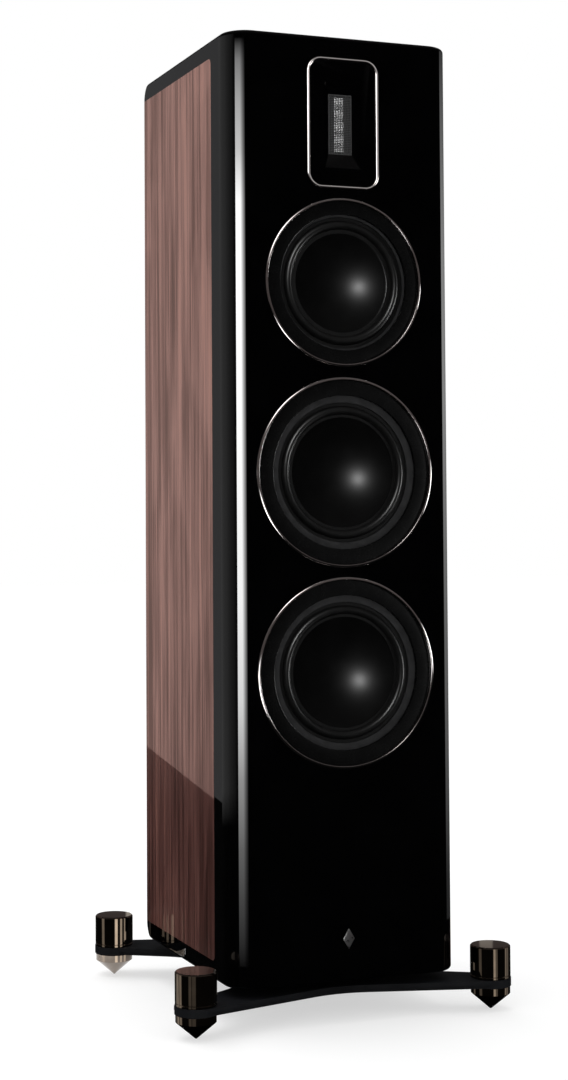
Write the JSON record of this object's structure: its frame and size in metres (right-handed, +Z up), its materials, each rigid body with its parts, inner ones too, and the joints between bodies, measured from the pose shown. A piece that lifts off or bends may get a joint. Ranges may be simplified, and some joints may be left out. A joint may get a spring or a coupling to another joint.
{
  "type": "floorstanding speaker",
  "caption": "Tall loudspeaker cabinet with ribbon tweeter, midrange and woofer cones, rear ports and terminals, on a bow-sided plinth with screw-adjustable spiked feet.",
  "frame": {"origin": "on the floor, at the centre of the four foot positions, on the cabinet's centre-line", "axes": "+Z up, the front baffle faces -Y, +X to the right seen from the front"},
  "size_m": [0.378, 0.3474, 1.0325],
  "materials": {
    "black_lacquer": "piano-gloss black lacquer over fibreboard",
    "walnut_veneer": "walnut veneer under clear high-gloss lacquer, grain vertical",
    "raw_fibreboard": "raw sanded fibreboard",
    "wadding": "loose polyester fibre",
    "bright_metal": "polished, slightly warm",
    "satin_black_metal": "satin black paint",
    "dark_steel": "blackened steel",
    "dark_chrome": "dark chrome, mirror polished",
    "satin_black_plastic": "satin black",
    "grille_steel": "dark grey perforated steel",
    "aluminium_foil": "bright pleated foil",
    "magnet_steel": "zinc-passivated steel and ferrite",
    "cast_alloy": "black powder-coated casting",
    "soft_rubber": "smooth butyl rubber",
    "cone_material": "smooth semi-gloss black diaphragm",
    "copper_winding": "enamelled copper wire",
    "spider_cloth": "resin-treated corrugated cloth",
    "gold_plate": "gold plated",
    "cap_red": "translucent red over metal",
    "cap_black": "translucent black over metal",
    "circuit_board": "green solder mask",
    "cable_jacket": "smooth jacket"
  },
  "bodies": {
    "cabinet": {"front_baffle": "black_lacquer", "cabinet_top": "black_lacquer", "cabinet_bottom": "black_lacquer", "cabinet_side_left": "black_lacquer", "cabinet_side_right": "black_lacquer", "cabinet_rear": "black_lacquer", "veneer_left": "walnut_veneer", "veneer_right": "walnut_veneer", "cabinet_braces": "raw_fibreboard", "midrange_chamber": "raw_fibreboard", "damping_wadding": "wadding", "front_badge": "bright_metal", "plinth": "satin_black_metal", "plinth_spacers": "satin_black_metal", "plinth_bolts": "dark_steel", "tweeter_trim": "bright_metal", "tweeter_faceplate": "satin_black_plastic", "tweeter_grille": "grille_steel", "tweeter_magnets": "magnet_steel", "tweeter_housing": "satin_black_plastic", "midrange_trim_ring": "bright_metal", "midrange_basket": "cast_alloy", "midrange_surround": "soft_rubber", "midrange_spider": "spider_cloth", "midrange_motor": "magnet_steel", "woofer_trim_rings": "bright_metal", "woofer_baskets": "cast_alloy", "woofer_motors": "magnet_steel", "driver_bezels": "satin_black_plastic", "upper_woofer_surround": "soft_rubber", "upper_woofer_spider": "spider_cloth", "lower_woofer_surround": "soft_rubber", "lower_woofer_spider": "spider_cloth", "mounting_screws": "dark_steel", "reflex_ports": "satin_black_plastic", "terminal_plate": "satin_black_plastic", "binding_post_stems": "gold_plate", "crossover_board": "circuit_board", "crossover_parts": "copper_winding", "internal_cables": "cable_jacket"},
    "ribbon": {"tweeter_ribbon": "aluminium_foil"},
    "midrange_diaphragm": {"midrange_cone": "cone_material", "midrange_voice_coil": "copper_winding"},
    "upper_woofer_diaphragm": {"upper_woofer_cone": "cone_material", "upper_woofer_voice_coil": "copper_winding"},
    "lower_woofer_diaphragm": {"lower_woofer_cone": "cone_material", "lower_woofer_voice_coil": "copper_winding"},
    "knob_front_left": {"foot_knob_front_left": "dark_chrome"},
    "spike_front_left": {"foot_spike_front_left": "dark_chrome"},
    "knob_front_right": {"foot_knob_front_right": "dark_chrome"},
    "spike_front_right": {"foot_spike_front_right": "dark_chrome"},
    "knob_rear_left": {"foot_knob_rear_left": "dark_chrome"},
    "spike_rear_left": {"foot_spike_rear_left": "dark_chrome"},
    "knob_rear_right": {"foot_knob_rear_right": "dark_chrome"},
    "spike_rear_right": {"foot_spike_rear_right": "dark_chrome"},
    "washer_positive": {"binding_post_washer_positive": "gold_plate"},
    "cap_positive": {"binding_post_cap_positive": "cap_red"},
    "washer_negative": {"binding_post_washer_negative": "gold_plate"},
    "cap_negative": {"binding_post_cap_negative": "cap_black"}
  },
  "joints": [
    {"name": "ribbon_excursion", "type": "slide", "parent": "cabinet", "child": "ribbon", "axis": [0, -1, 0], "range_m": [-0.0003, 0.0003], "stiffness_N_per_m": 400},
    {"name": "midrange_excursion", "type": "slide", "parent": "cabinet", "child": "midrange_diaphragm", "axis": [0, -1, 0], "range_m": [-0.003, 0.003], "stiffness_N_per_m": 1500, "deforming": ["midrange_surround", "midrange_spider"]},
    {"name": "upper_woofer_excursion", "type": "slide", "parent": "cabinet", "child": "upper_woofer_diaphragm", "axis": [0, -1, 0], "range_m": [-0.005, 0.005], "stiffness_N_per_m": 1200, "deforming": ["upper_woofer_surround", "upper_woofer_spider"]},
    {"name": "lower_woofer_excursion", "type": "slide", "parent": "cabinet", "child": "lower_woofer_diaphragm", "axis": [0, -1, 0], "range_m": [-0.005, 0.005], "stiffness_N_per_m": 1200, "deforming": ["lower_woofer_surround", "lower_woofer_spider"]},
    {"name": "knob_turn_front_left", "type": "hinge", "parent": "cabinet", "child": "knob_front_left", "pos_m": [-0.167, -0.1517, 0.0335], "axis": [0, 0, 1], "range_deg": [0, 1800]},
    {"name": "spike_height_front_left", "type": "slide", "parent": "cabinet", "child": "spike_front_left", "axis": [0, 0, 1], "range_m": [-0.0076, 0]},
    {"name": "knob_turn_front_right", "type": "hinge", "parent": "cabinet", "child": "knob_front_right", "pos_m": [0.167, -0.1517, 0.0335], "axis": [0, 0, 1], "range_deg": [0, 1800]},
    {"name": "spike_height_front_right", "type": "slide", "parent": "cabinet", "child": "spike_front_right", "axis": [0, 0, 1], "range_m": [-0.0076, 0]},
    {"name": "knob_turn_rear_left", "type": "hinge", "parent": "cabinet", "child": "knob_rear_left", "pos_m": [-0.161, 0.1517, 0.0335], "axis": [0, 0, 1], "range_deg": [0, 1800]},
    {"name": "spike_height_rear_left", "type": "slide", "parent": "cabinet", "child": "spike_rear_left", "axis": [0, 0, 1], "range_m": [-0.0076, 0]},
    {"name": "knob_turn_rear_right", "type": "hinge", "parent": "cabinet", "child": "knob_rear_right", "pos_m": [0.161, 0.1517, 0.0335], "axis": [0, 0, 1], "range_deg": [0, 1800]},
    {"name": "spike_height_rear_right", "type": "slide", "parent": "cabinet", "child": "spike_rear_right", "axis": [0, 0, 1], "range_m": [-0.0076, 0]},
    {"name": "washer_travel_positive", "type": "slide", "parent": "cabinet", "child": "washer_positive", "axis": [0, 1, 0], "range_m": [0, 0.0041]},
    {"name": "cap_turn_positive", "type": "hinge", "parent": "washer_positive", "child": "cap_positive", "pos_m": [-0.02, 0.1317, 0.15], "axis": [0, 1, 0], "range_deg": [0, 1800]},
    {"name": "washer_travel_negative", "type": "slide", "parent": "cabinet", "child": "washer_negative", "axis": [0, 1, 0], "range_m": [0, 0.0041]},
    {"name": "cap_turn_negative", "type": "hinge", "parent": "washer_negative", "child": "cap_negative", "pos_m": [0.02, 0.1317, 0.15], "axis": [0, 1, 0], "range_deg": [0, 1800]}
  ],
  "couplings": [
    {"joint": "spike_height_front_left", "follows": "knob_turn_front_left", "m_per_rad": -0.00023873},
    {"joint": "spike_height_front_right", "follows": "knob_turn_front_right", "m_per_rad": -0.00023873},
    {"joint": "spike_height_rear_left", "follows": "knob_turn_rear_left", "m_per_rad": -0.00023873},
    {"joint": "spike_height_rear_right", "follows": "knob_turn_rear_right", "m_per_rad": -0.00023873},
    {"joint": "washer_travel_positive", "follows": "cap_turn_positive", "m_per_rad": 0.00012732},
    {"joint": "washer_travel_negative", "follows": "cap_turn_negative", "m_per_rad": 0.00012732}
  ]
}
